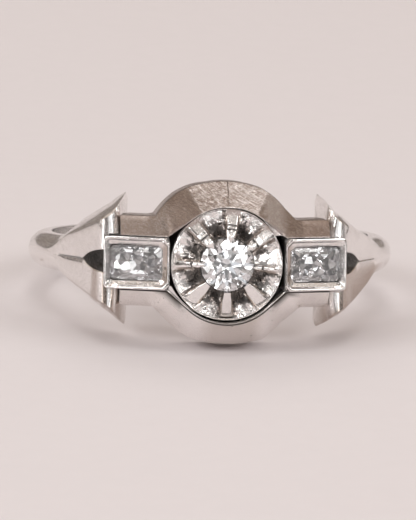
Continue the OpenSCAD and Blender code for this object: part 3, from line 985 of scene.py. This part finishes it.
@dataclass
class Rail:
    """Bowed rail over or under the head, with an arm along both side settings.

    Its outline gives the bow's outer edge by angle and radius, and a facet is a filed flat from one angle to
    another, with the height that it falls.
    """

    name: str
    side: int
    finish: WhiteGold
    outline: Rows
    arm_out: Span
    bow_in: float
    facets: tuple[Point, ...] = ()
    ledge: float = 0.0
    strip: float = 0.0
    top: float = 12.0
    fall: float = 1.5
    facet_slope: float = 1.38
    facet_clear: float = 0.7
    facet_round: float = 0.4
    facet_depth: float = 2.4
    facet_lap: float = 0.5
    crease: float = 30.0
    slope: float = math.radians(40.0)
    bow_steps: int = 30
    bow_x: float = 2.6
    arm_in: float = 1.42
    arm_fall: float = 1.0
    arm_rows: tuple[tuple[float, float | None], ...] = (
        (5.52, 9.33), (5.40, 9.20), (5.265, 8.88), (4.93, None), (4.5, None), (4.1, None), (4.0, None),
    )
    corner_h: float = 11.43
    corner_x: float = 3.10
    corner_rows: tuple[float, ...] = (0.0, 0.06, 0.2, 0.4, 0.6, 0.8)
    corner_rise: float = 0.6
    corner_fall: float = 0.5
    strip_start: float = 0.12
    arm_x: float = 3.118
    lean: float = math.tan(math.radians(24))
    bore: float = 8.62
    chamfer: float = 0.04
    land: float = 0.07
    face_shares: Span = (0.36, 0.68)
    inner_share: float = 0.55
    outer_share: float = 0.4
    ledge_share: float = 0.6
    ledge_drops: Window = (0.42, 0.30, 0.24, 0.235)
    # Painted shade: a dark line along the lower rail's inner edge, and the walls deep beside the settings.
    line_gap: Span = (0.068, 0.05)
    line_depth: Span = (0.26, 0.22)
    line_end: float = -0.04
    deep: Span = (0.45, 0.8)
    deep_gap: Span = (0.03, 0.0)
    # Painted shade and dark reflections: over the lower rail's bow, and by x on the upper rail, kept off a thin strip
    # along the inner edge.
    bow_shade: float = 0.4
    bow_shade_x: float = 0.3
    bow_shade_fade: Span = (1.9, 0.9)
    edge_bright: float = 0.03
    light_strokes: float = 0.25
    shade_by_x: Rows = (
        (-9.0, 0.55), (-3.3, 0.55), (-2.9, 0.95), (-2.0, 0.9), (-1.9, 0.95), (0.0, 0.95),
        (0.1, 0.8), (1.9, 0.8), (2.0, 0.0), (2.8, 0.1), (3.3, 1.0), (9.0, 1.0),
    )

    def _crown(self, x: float) -> float:
        """Height of the bow's inner edge over x, round the finger."""
        return math.sqrt(self.top ** 2 - x * x)

    def _arm_top(self, x: float) -> float:
        """Height of an arm's inner edge at x from the middle."""
        return self.corner_h - (x - self.arm_x) * self.lean

    def _turn(self, a: float) -> Vector:
        """Direction at an angle from the top, in degrees, seen from the front."""
        return Vector((math.sin(math.radians(a)), math.cos(math.radians(a))))

    def _outer(self, a: float) -> Vector:
        """Outer edge at angle a from the top, in degrees, seen from the front."""
        return self._turn(a) * table(a, self.outline)

    def _gap(self, x: float, y: float) -> float:
        """Distance of a place from the rail's inner edge, seen from the front."""
        x, y = abs(x), abs(y)
        out = math.hypot(x, y) if math.atan2(x, y) < self.slope else x * math.sin(self.slope) + y * math.cos(self.slope)
        return min(out - self.bow_in, y - self.arm_in)

    def _section(
        self, inner: Vector, outer: Vector, top: float, fall: float, low: float | None = None, strip: float = 0.0,
    ) -> Section:
        """One closed section.

        Args:
            inner: place of the inner edge, seen from the front.
            outer: place of the outer edge.
            top: height of the inner edge.
            fall: how much lower the outer edge is.
            low: height of the foot, or None for the finger hole.
            strip: width of a light chamfer along the inner edge.

        Returns:
            The section's points.
        """
        feet = [low if low is not None else math.sqrt(self.bore ** 2 - p.x ** 2) for p in (inner, outer)]
        across = (outer - inner).normalized()
        length = (outer - inner).length
        step = inner - across * self.ledge
        under, edge, slant, rise = (top - drop for drop in self.ledge_drops)
        rows = [(step, feet[0]), (step, blend(feet[0], top, self.inner_share)), (step, under), (step, edge)]
        rows.append((inner - across * self.ledge * self.ledge_share, slant))
        rows += [(inner, rise), (inner, top - self.chamfer - strip)]
        face = [length * share for share in self.face_shares]
        for d in (self.chamfer + strip, self.land + strip, *face, length - self.chamfer):
            rows.append((inner + across * d, top - fall * d / length))
        side = top - fall
        rows += [(outer, side - self.chamfer), (outer, blend(side, feet[1], self.outer_share)), (outer, feet[1])]
        return [Vector((p.x, p.y * self.side, z)) for p, z in rows]

    def _half(self, hand: int) -> list[Section]:
        """Sections from the end of one arm to the start of the bow, the corner included."""
        arm, corner = self.arm_out[0 if hand < 0 else 1], self.outline[0 if hand < 0 else -1][0]
        limit = hand * math.degrees(self.slope)
        rows = []
        for x, low in self.arm_rows:
            ends = (Vector((hand * x, y)) for y in (self.arm_in, arm))
            rows.append(self._section(*ends, self._arm_top(x), self.arm_fall, low))
        first, last = Vector((hand * self.corner_x, self.arm_in)), self._turn(limit) * self.bow_in
        for t in self.corner_rows:
            inner, outer = first.lerp(last, t), self._outer(blend(corner, limit, t))
            crown = self._crown(inner.x)
            top = min(crown, blend(self.corner_h, crown, smooth(0, self.corner_rise, t)))
            wide = self.strip * math.sin(math.pi * min(1.0, t + self.strip_start))
            fall = blend(self.arm_fall, self.fall, smooth(0, self.corner_fall, t))
            rows.append(self._section(inner, outer, top, fall, None, wide))
        return rows

    def _bow(self) -> list[Section]:
        """Sections round the bow, from right to left; a filed facet keeps to one plane."""
        limit, clear, bend = math.degrees(self.slope), self.facet_clear, self.facet_round
        angles = {round(blend(limit, -limit, i / self.bow_steps), 3) for i in range(self.bow_steps + 1)}
        for start, end, _ in self.facets:
            angles = {a for a in angles if min(abs(a - start), abs(a - end)) >= clear}
            angles |= {start - bend, start, end, end + bend}
        rows = []
        for a in sorted(angles, reverse=True):
            inner = self._turn(a) * self.bow_in
            top, fall = self._crown(inner.x), self.fall
            for start, end, facet_fall in self.facets:
                if start <= a <= end:
                    ends = [self._crown(self._turn(b).x * self.bow_in) for b in (start, end)]
                    turn, half = (math.cos(math.radians(v)) for v in (a - (start + end) / 2, (end - start) / 2))
                    level = blend(*ends, (a - start) / (end - start))
                    top, fall = level - self.facet_slope * self.bow_in * (turn - half), facet_fall * turn
            rows.append(self._section(inner, self._outer(a), top, fall))
        return rows

    def _shade_and_dirt(self, spot: Vector) -> float:
        """Share of painted shade at a place: a dark line along the inner edge and the walls deep beside the settings.
        """
        gap, x = self._gap(spot.x, spot.y), abs(spot.x)
        depth = max(0.0, self._crown(spot.x) if x < self.bow_x else self._arm_top(x)) - spot.z
        walls = smooth(*self.deep, depth) * smooth(*self.deep_gap, gap)
        if not self.ledge or gap <= self.line_end:
            return walls
        return max(walls, smooth(*self.line_gap, gap) * smooth(*self.line_depth, depth))

    def _painted_shade(self, spot: Vector) -> float:
        """Share of painted shade and dark reflections at a place: on the lower rail's bow, and on the upper rail least
        on its right slope.
        """
        if self.side < 0:
            return self.bow_shade * smooth(*self.bow_shade_fade, abs(spot.x - self.bow_shade_x))
        inside = smooth(self.chamfer, self.chamfer + self.edge_bright, self._gap(spot.x, spot.y))
        return table(spot.x, self.shade_by_x) * inside

    def _brushed(self, spot: Vector) -> float:
        """Share of filing strokes at a place: full on the facets and light elsewhere."""
        a = math.degrees(math.atan2(spot.x, spot.y * self.side))
        on = any(start - self.facet_lap < a < end + self.facet_lap for start, end, _ in self.facets)
        return 1.0 if on and spot.z > self.top - self.facet_depth else self.light_strokes

    def build(self) -> bpy.types.Object:
        """Builds the rail, puts it in place of its node and returns it."""
        bm = loft(self._half(1) + self._bow() + self._half(-1)[::-1])
        marks = {"soil": self._shade_and_dirt, "brushed": self._brushed, "dull": self._painted_shade}
        made = piece(f"ring_{self.name}", bm, self.finish.material(), self.name, self.crease, marks)
        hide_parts(self.name)
        return made


def upper_rail() -> Rail:
    """The rail over the head: brushed, with two filed facets at the top; its tone is painted dark as painted shade and
    dark reflections.
    """
    outline = (
        (-56.0, 4.45), (-45.7, 4.48), (-36.6, 4.50), (-25.0, 4.45), (-13.5, 4.33), (0.0, 4.31),
        (14.8, 4.30), (26.9, 4.37), (36.9, 4.32), (47.2, 4.25), (57.3, 4.33),
    )
    # These tones are painted dark: painted shade and dark reflections, not the metal's own colour.
    tone, dull = (0.50, 0.44, 0.41), (0.25, 0.185, 0.15)
    finish = WhiteGold("upper_gold_shaded", tone, dull=dull, rough=0.24, hairlines=1.0, strokes=0.9)
    facets = ((-27.0, 0.0, 1.75), (1.0, 30.0, 1.85))
    return Rail("upper_rail", 1, finish, outline, (2.42, 2.28), 3.02, facets, strip=0.13)


def lower_rail() -> Rail:
    """The rail under the head: polished, with a painted shade line along its inner edge and a tone painted lighter as
    painted light.
    """
    outline = (
        (-59.0, 4.46), (-49.6, 4.33), (-39.7, 4.33), (-28.0, 4.375), (-16.0, 4.29), (0.0, 4.25),
        (18.3, 4.34), (26.4, 4.45), (34.9, 4.38), (43.4, 4.28), (53.7, 4.41), (59.0, 4.51),
    )
    # The tone is painted a little lighter than the other metal: painted light from the floor it mirrors.
    finish = WhiteGold("lower_gold_lit", (0.99, 0.95, 0.925), rough=0.22, pits=0.9)
    return Rail("lower_rail", -1, finish, outline, (2.32, 2.30), 3.12, ledge=0.06)


# ---- Side settings


@dataclass
class SideSetting:
    """Box with a thin raised edge, walls that slope in to an oblong stone and a light hole behind it.

    Each ring of the pocket is its lowest X, highest X, half width and height.
    """

    side: Side
    material: bpy.types.Material
    middle: Span = (4.72, 11.0)
    lean: float = math.radians(24)
    length: float = 3.72
    width: float = 2.74
    depth: float = 2.7
    chamfer: float = 0.32
    corner: float = 0.24
    corner_steps: int = 5
    edge_round: float = 0.03
    edge_low: float = -0.02
    crease: float = 35.0
    inner_x: float = 3.05
    hole: Span = (1.9, 1.0)
    hole_top: float = -1.75
    pocket: tuple[Window, ...] = (
        (-1.72, 1.75, 1.26, 0.0), (-1.62, 1.71, 1.17, -0.17), (-1.55, 1.69, 1.13, -0.20),
        (-1.31, 1.66, 0.96, -0.33), (-1.30, 1.65, 0.93, -0.48),
    )
    wall_near: float = 0.08
    clip_near: float = 0.05
    # Painted shade: on the outer walls well under the edge, and at the pocket's end beside the head.
    wall_shade: Span = (-0.35, -0.7)
    end_shade: float = 0.75
    end_x: Span = (-1.28, -1.32)
    end_y: Span = (1.25, 1.1)
    end_z: Span = (-0.02, -0.1)

    def _place(self) -> Matrix:
        """Matrix from the box's own frame, X along it and Z out of it, to the ring's."""
        x, z = self.middle
        lean = Matrix.Rotation(self.lean, 4, "Y")
        flip = Matrix.Scale(-1, 4, (1, 0, 0)) if self.side is Side.LEFT else Matrix.Identity(4)
        return flip @ Matrix.Translation((x, 0, z)) @ lean

    def _outline(self, bm: bmesh.types.BMesh) -> None:
        """Draws the box's outline as one face: chamfered beside the head, rounded at the outer end."""
        place = Matrix.Diagonal((self.length, self.width, 1, 1))
        bmesh.ops.create_grid(bm, x_segments=1, y_segments=1, size=0.5, matrix=place)
        half = self.length / 2 - 0.01
        for outer, size, steps in ((False, self.chamfer, 1), (True, self.corner, self.corner_steps)):
            corners = [v for v in bm.verts if (v.co.x > half) == outer and abs(v.co.x) > half]
            bmesh.ops.bevel(
                bm, geom=corners, offset=size, offset_type="OFFSET", segments=steps,
                profile=0.5, affect="VERTICES", clamp_overlap=True, material=-1,
            )

    def _press(self, bm: bmesh.types.BMesh, face: bmesh.types.BMFace, ring: Window) -> bmesh.types.BMFace:
        """Extrudes a face to a rectangle, keeping its corners.

        Args:
            bm: the mesh.
            face: the face to press down.
            ring: lowest X, highest X, half width and height of the rectangle.

        Returns:
            The pressed face.
        """
        low, high = min(v.co.x for v in face.verts), max(v.co.x for v in face.verts)
        half = max(abs(v.co.y) for v in face.verts)
        made = bmesh.ops.extrude_discrete_faces(bm, faces=[face])["faces"][0]
        for v in made.verts:
            x = blend(ring[0], ring[1], (v.co.x - low) / (high - low))
            v.co = Vector((x, v.co.y * ring[2] / half, ring[3]))
        return made

    def _shade_and_dirt(self, spot: Vector) -> float:
        """Share of painted shade at a place: the outer walls well under the edge."""
        local = self._place().inverted() @ spot
        out = max(abs(local.x) - self.length / 2, abs(local.y) - self.width / 2)
        wall = out > -self.wall_near or abs(spot.x) < self.inner_x + self.clip_near
        return smooth(*self.wall_shade, local.z) if wall else 0.0

    def _painted_shade(self, spot: Vector) -> float:
        """Share of painted shade at a place: the pocket's end beside the head."""
        local = self._place().inverted() @ spot
        across = smooth(*self.end_z, local.z) * smooth(*self.end_y, abs(local.y))
        return self.end_shade * smooth(*self.end_x, local.x) * across

    def build(self) -> bpy.types.Object:
        """Builds the box, puts it in place of its node and returns it."""
        bm = bmesh.new()
        self._outline(bm)
        low = bmesh.ops.extrude_face_region(bm, geom=[bm.faces[:][0]])["geom"]
        for v in (g for g in low if isinstance(g, bmesh.types.BMVert)):
            v.co.z = -self.depth
        bm.faces.ensure_lookup_table()
        top = max(bm.faces, key=lambda f: f.calc_center_median().z)
        base = min(bm.faces, key=lambda f: f.calc_center_median().z)
        for ring in self.pocket:
            top = self._press(bm, top, ring)
        back = (-self.hole[0] / 2, self.hole[0] / 2, self.hole[1] / 2)
        top = self._press(bm, top, (*back, self.hole_top))
        base = self._press(bm, base, (*back, -self.depth))
        rims = list(top.edges) + list(base.edges)
        bmesh.ops.delete(bm, geom=[top, base], context="FACES_ONLY")
        bmesh.ops.bridge_loops(bm, edges=rims)
        bmesh.ops.recalc_face_normals(bm, faces=bm.faces)
        soften(bm, self.edge_round, self.edge_low)
        bm.transform(self._place())
        geom = bm.verts[:] + bm.edges[:] + bm.faces[:]
        clip, out = (self.inner_x * self.side.value, 0, 0), (-self.side.value, 0, 0)
        cut = bmesh.ops.bisect_plane(bm, geom=geom, plane_co=clip, plane_no=out, clear_outer=True)
        rim = [e for e in cut["geom_cut"] if isinstance(e, bmesh.types.BMEdge)]
        bmesh.ops.holes_fill(bm, edges=rim, sides=0)
        tidy(bm)
        name = f"{self.side.name.lower()}_setting"
        marks = {"soil": self._shade_and_dirt, "dull": self._painted_shade}
        made = piece(f"ring_{name}", bm, self.material, "side_setting", self.crease, marks)
        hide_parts(name)
        return made


# ---- Centre setting


@dataclass(frozen=True)
class Claw:
    """One claw of the head: its angle from the right in degrees, half widths, bright drop and sink, in millimetres.

    The drop is given by its inner end, its outer end and its half width.
    """

    angle: float
    rim: float = 0.30
    waist: float = 0.27
    tip: float = 0.16
    drop: Point | None = None
    sink: float = 0.0
    radii: Point = (1.45, 1.90, 2.75)

    def half(self, r: float) -> float:
        """Half width at radius r."""
        return table(r, tuple(zip(self.radii, (self.tip, self.waist, self.rim))))


@dataclass
class Head:
    """Round head: eight claws over the stone's edge and a bright-cut hollow between each pair.

    One hollow is a flat bright face, from one angle to another, with a slope across and a slope inward.
    """

    material: bpy.types.Material
    claws: tuple[Claw, ...] = (
        Claw(-5, 0.10, 0.07, 0.06, (1.28, 1.80, 0.09), 0.10), Claw(38, 0.27, 0.25, 0.20, (1.27, 1.90, 0.21)),
        Claw(84, 0.26, 0.24, 0.18, (1.17, 1.89, 0.19)), Claw(131, 0.27, 0.26, 0.20, (1.13, 1.84, 0.24)),
        Claw(180, 0.16, 0.12, 0.12, (1.22, 1.88, 0.14), 0.05), Claw(225), Claw(270, 0.27, 0.23, 0.17), Claw(313),
    )
    rim_r: float = 2.95
    rim_h: float = 11.25
    rim_round: float = 0.03
    rim_fade: Span = (2.93, 2.86)
    claw_h: float = 11.82
    claw_crown: float = 0.018
    sink_fade: Span = (2.6, 2.0)
    stone_r: float = 1.45
    seat: Rows = ((0.75, 9.2), (0.75, 10.77), (1.42, 11.34), (1.45, 11.5))
    seat_step: float = 0.02
    wall: Rows = ((2.95, 10.72), (2.35, 10.3), (1.7, 9.2))
    wall_top: float = 10.3
    rings: int = 40
    columns: int = 512
    step_h: float = 0.12
    step_fade: Span = (1.92, 1.87)
    lip_h: float = 0.04
    lip: Window = (1.88, 1.93, 2.0, 2.2)
    on_claw: Span = (0.12, 0.0)
    hollow_r: float = 2.87
    hollow_d: float = 0.05
    hollow_slope: float = 0.60
    hollow_power: float = 0.75
    bright_face: Span = (-2.0, 18.5)
    bright_slopes: Span = (0.16, 0.19)
    bright_ease: float = 0.12
    drop_grid: tuple[int, int] = (24, 16)
    drop_swell: tuple[float, float, float] = (0.5, -1.0, 0.2)
    drop_sink: Span = (0.03, 0.06)
    drop_lift: float = 0.05
    drop_flat: float = 0.5
    drop_top: float = 11.6
    near: float = 0.01
    least_gap: float = 0.02
    shade_end: float = 2.90
    cut_end: float = 2.89
    pits_end: float = 2.85
    crease: float = 60.0
    # Painted shade: black down the outer wall, under the stone, deep in the hollows (some kept clear), in a dark arc
    # behind the drops, in a dark line beside the claw at 270 and along the claws' flanks.
    wall_shade: Span = (11.15, 10.75)
    seat_shade: float = 0.6
    unshaded_hollows: Point = (16.5, 61.0, 107.5)
    unshaded_fade: Span = (24.0, 14.0)
    unshaded_share: float = 0.9
    hollow_black_shade: float = 0.34
    hollow_black_shade_share: Span = (0.0, 0.35)
    hollow_black_shade_r: Span = (2.0, 1.6)
    crescent_share: Span = (0.1, 0.0)
    crescent_r: Window = (1.81, 1.85, 1.90, 1.94)
    notch_angle: float = 270
    notch_share: Span = (0.5, 0.0)
    notch_r: Window = (2.70, 2.74, 2.82, 2.86)
    flank_share: Window = (0.0, 0.05, 0.15, 0.45)
    flank_r: Span = (2.8, 2.5)
    flank_black_shade: float = 0.21
    # Painted brown shade: along the claws' flanks and deep in the hollows toward the stone.
    flank_brown_shade: float = 0.75
    hollow_brown_shade: float = 0.4
    hollow_brown_shade_share: Span = (0.0, 0.2)
    hollow_brown_shade_r: Span = (2.3, 1.7)
    cut_share: Span = (0.15, 0.4)
    cut_r: Span = (1.5, 2.3)
    pitted_hollow: float = 61.0
    pitted_side: Window = (0.0, 6.0, 10.0, 16.0)
    pits: float = 0.75
    pits_share: Span = (0.0, 0.3)
    pits_r: Span = (2.75, 2.2)

    def _top(self, r: float) -> float:
        """Height of a claw's back at radius r."""
        return blend(self.claw_h, self.rim_h, (r - self.stone_r) / (self.rim_r - self.stone_r))

    def _polar(self, spot: Vector) -> Span:
        """Radius of a place and its angle from the right, in degrees."""
        return math.hypot(spot.x, spot.y), math.degrees(math.atan2(spot.y, spot.x))

    def _nearest(self, a: float) -> tuple[Claw, float, float]:
        """The claw nearest to an angle, the angle off its middle and half of the way to the next claw, in degrees."""
        def off(claw: Claw) -> float:
            """Signed angle from a claw's middle."""
            return (a - claw.angle + 180) % 360 - 180

        claw = min(self.claws, key=lambda c: abs(off(c)))
        turn = 1 if off(claw) > 0 else -1
        gap = min((c.angle - claw.angle) * turn % 360 for c in self.claws if c is not claw)
        return claw, abs(off(claw)), gap / 2

    def _share(self, r: float, a: float) -> float:
        """How far a place is into a hollow: 0 on a claw and 1 in the hollow's middle."""
        claw, off, gap = self._nearest(a)
        side, half_gap = r * math.sin(math.radians(off)), r * math.sin(math.radians(gap))
        half = claw.half(r)
        return min(1.0, max(0.0, (side - half) / max(self.least_gap, half_gap - half)))

    def _bright(self, r: float, a: float, half: float) -> float | None:
        """Depth of the flat bright face.

        Args:
            r: radius.
            a: angle from the right, from -180 to 180 degrees.
            half: half width of the nearest claw.

        Returns:
            The depth, or None away from the face.
        """
        start, end = self.bright_face
        following = self.claws[1]
        if not start < a < following.angle - math.degrees(math.asin(following.rim / r)):
            return None
        across = r * math.sin(math.radians(min(a, end) - start))
        inward = max(0.0, self.hollow_r - r) * self.bright_slopes[1] * smooth(0.0, self.bright_ease, across)
        last = following.angle - math.degrees(math.asin(half / r))
        return (across * self.bright_slopes[0] + inward) * min(1.0, max(0.0, (last - a) / (last - end)))

    def _surface(self, r: float, a: float) -> float:
        """Height of the head's face at radius r and angle a, in degrees from the right."""
        claw, off, _ = self._nearest(a)
        half, share = claw.half(r), self._share(r, a)
        top = self._top(r) - claw.sink * smooth(*self.sink_fade, r)
        if claw.drop:
            step = self.lip_h * within(self.lip, r) - self.step_h * smooth(*self.step_fade, r)
            top += step * smooth(*self.on_claw, share)
        deep = self._bright(r, (a + 180) % 360 - 180, half)
        if deep is None:
            deep = (self.hollow_d + max(0.0, self.hollow_r - r) * self.hollow_slope) * share ** self.hollow_power
        side = r * math.sin(math.radians(off))
        return top - self.claw_crown * min(1.0, side / half) ** 4 - deep * smooth(*self.rim_fade, r)

    def _body(self) -> bmesh.types.BMesh:
        """Head without its drops, as one closed skin."""
        span = self.rim_fade[0] - self.stone_r
        radii = [self.stone_r + span * i / self.rings for i in range(self.rings + 1)]
        outer = len(self.seat) + len(radii)
        rows = outer + 1 + len(self.wall)
        bm = bmesh.new()
        bmesh.ops.create_grid(bm, x_segments=self.columns, y_segments=rows, size=0.5)
        for v in bm.verts:
            a = round((v.co.x + 0.5) * self.columns) * 360 / self.columns
            i = round((v.co.y + 0.5) * rows) % rows
            if i < len(self.seat):
                r, z = self.seat[i]
                z = min(z, self._surface(self.stone_r, a) - self.seat_step * (len(self.seat) - i))
            elif i < outer:
                r = radii[i - len(self.seat)]
                z = self._surface(r, a)
            else:
                r, z = ((self.rim_r, self.rim_h - self.rim_round), *self.wall)[i - outer]
            v.co = Vector((r * math.cos(math.radians(a)), r * math.sin(math.radians(a)), z))
        tidy(bm)
        return bm

    def _drop(self, claw: Claw) -> bmesh.types.BMesh:
        """Bright bead of one claw, drawn to a point over the stone."""
        start, end, half = claw.drop
        least, thin, full = self.drop_swell
        columns, rows = self.drop_grid
        bm = bmesh.new()
        lying = Matrix.Rotation(math.pi / 2, 4, "Y")
        bmesh.ops.create_uvsphere(bm, u_segments=columns, v_segments=rows, radius=1.0, matrix=lying)
        for v in bm.verts:
            thick = half * blend(least, 1.0, smooth(thin, full, v.co.x))
            r = blend(start, end, (v.co.x + 1) / 2)
            z = self._top(max(r, self.stone_r)) - self.drop_sink[0] - self.drop_sink[1] * smooth(full, thin, v.co.x)
            v.co = Vector((r, v.co.y * thick, z + self.drop_lift + v.co.z * thick * self.drop_flat))
        bm.transform(Matrix.Rotation(math.radians(claw.angle), 4, "Z"))
        return bm

    def _on_drop(self, spot: Vector) -> bool:
        """Whether a place is on a drop."""
        r, a = self._polar(spot)
        drop = self._nearest(a)[0].drop
        high = spot.z > self._surface(max(r, self.stone_r), a) + self.near
        return drop is not None and high and r < drop[1] + self.near

    def _on_bright(self, a: float) -> bool:
        """Whether an angle is on the flat bright face."""
        return self.bright_face[0] < a < self.bright_face[1]

    def _shade_and_dirt(self, spot: Vector) -> float:
        """Share of painted shade at a place: deep in the hollows, behind the drops, down the outer wall, under the
        stone, along the claws' flanks and in a dark line beside one claw.
        """
        r, a = self._polar(spot)
        claw = self._nearest(a)[0]
        if r > self.rim_r - self.near or spot.z < self.wall_top:
            return smooth(*self.wall_shade, spot.z)
        if r < self.stone_r - self.near:
            return 0.0 if claw.drop and spot.z > self.drop_top else self.seat_shade
        if self._on_drop(spot):
            return 0.0
        share = self._share(r, a)
        unshaded = self.unshaded_share * max(smooth(*self.unshaded_fade, abs(a - hollow)) for hollow in self.unshaded_hollows)
        inner = smooth(*self.hollow_black_shade_share, share) * smooth(*self.hollow_black_shade_r, r)
        soil = [self.hollow_black_shade * inner * (1 - unshaded)]
        if claw.drop:
            soil.append(smooth(*self.crescent_share, share) * within(self.crescent_r, r))
        if claw.angle == self.notch_angle:
            soil.append(smooth(*self.notch_share, share) * within(self.notch_r, r))
        if not self._on_bright(a):
            soil.append(self.flank_black_shade * within(self.flank_share, share) * smooth(*self.flank_r, r))
        return max(soil)

    def _painted_shade(self, spot: Vector) -> float:
        """Share of painted brown shade at a place: on the flanks of the claws and toward the stone."""
        r, a = self._polar(spot)
        on_face = self.stone_r - self.near < r < self.shade_end
        if self._on_drop(spot) or not on_face or self._on_bright(a):
            return 0.0
        share = self._share(r, a)
        flank = self.flank_brown_shade * within(self.flank_share, share) * smooth(*self.flank_r, r)
        return max(flank, self.hollow_brown_shade * smooth(*self.hollow_brown_shade_share, share) * smooth(*self.hollow_brown_shade_r, r))

    def _worn(self, spot: Vector) -> float:
        """Share of worn satin at a place: the drops."""
        return 1.0 if self._on_drop(spot) else 0.0

    def _cut(self, spot: Vector) -> float:
        """Share of bright cutting at a place."""
        r, a = self._polar(spot)
        if not self.stone_r - self.near < r < self.cut_end or self._on_bright(a):
            return 0.0
        return smooth(*self.cut_share, self._share(r, a)) * smooth(*self.cut_r, r)

    def _pits(self, spot: Vector) -> float:
        """Share of black pits at a place: along one side of one hollow, and fewer in the others."""
        r, a = self._polar(spot)
        if not self.stone_r < r < self.pits_end or spot.z < self.wall_top:
            return 0.0
        few = self.pits * smooth(*self.pits_share, self._share(r, a)) * smooth(*self.pits_r, r)
        return max(within(self.pitted_side, a - self.pitted_hollow), few)

    def build(self) -> bpy.types.Object:
        """Builds the head, puts it in place of its node and returns it."""
        bm = self._body()
        for claw in self.claws:
            if claw.drop:
                absorb(bm, self._drop(claw))
        marks = {"soil": self._shade_and_dirt, "cut": self._cut, "pits": self._pits, "worn": self._worn, "dull": self._painted_shade}
        made = piece("ring_centre_setting", bm, self.material, "centre_setting", self.crease, marks)
        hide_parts("centre_setting")
        return made


# ---- Stones


@dataclass
class Stones:
    """The three cut stones, as the frame has them."""

    round_stone: Diamond = Diamond("round_diamond")
    side_stone: Diamond = Diamond("side_diamond", (0.985, 0.985, 0.99), 0.00045, 0.13)

    def dress(self) -> list[bpy.types.Object]:
        """Gives each stone its material and returns the stones."""
        side = self.side_stone.material()
        finishes = {"centre_diamond": self.round_stone.material(), "left_diamond": side, "right_diamond": side}
        stones = [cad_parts[name] for name in finishes]
        for stone, material in zip(stones, finishes.values()):
            stone.data.materials.clear()
            stone.data.materials.append(material)
        return stones


def main() -> None:
    """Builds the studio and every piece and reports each."""
    logging.basicConfig(level=logging.INFO, format="%(message)s")
    Studio().build()
    pieces = Stones().dress()
    box = WhiteGold("box_gold", rough=0.08).material()
    makers = [Shank(WhiteGold("shank_gold")), upper_rail(), lower_rail(), *(SideSetting(side, box) for side in Side)]
    makers.append(Head(WhiteGold("bright_cut_gold", rough=0.06, dirt=0.5, crackle=50.0).material()))
    for made in pieces + [maker.build() for maker in makers]:
        LOG.info("%s: %d faces", made.name, len(made.data.polygons))


if __name__ == "__main__":
    main()
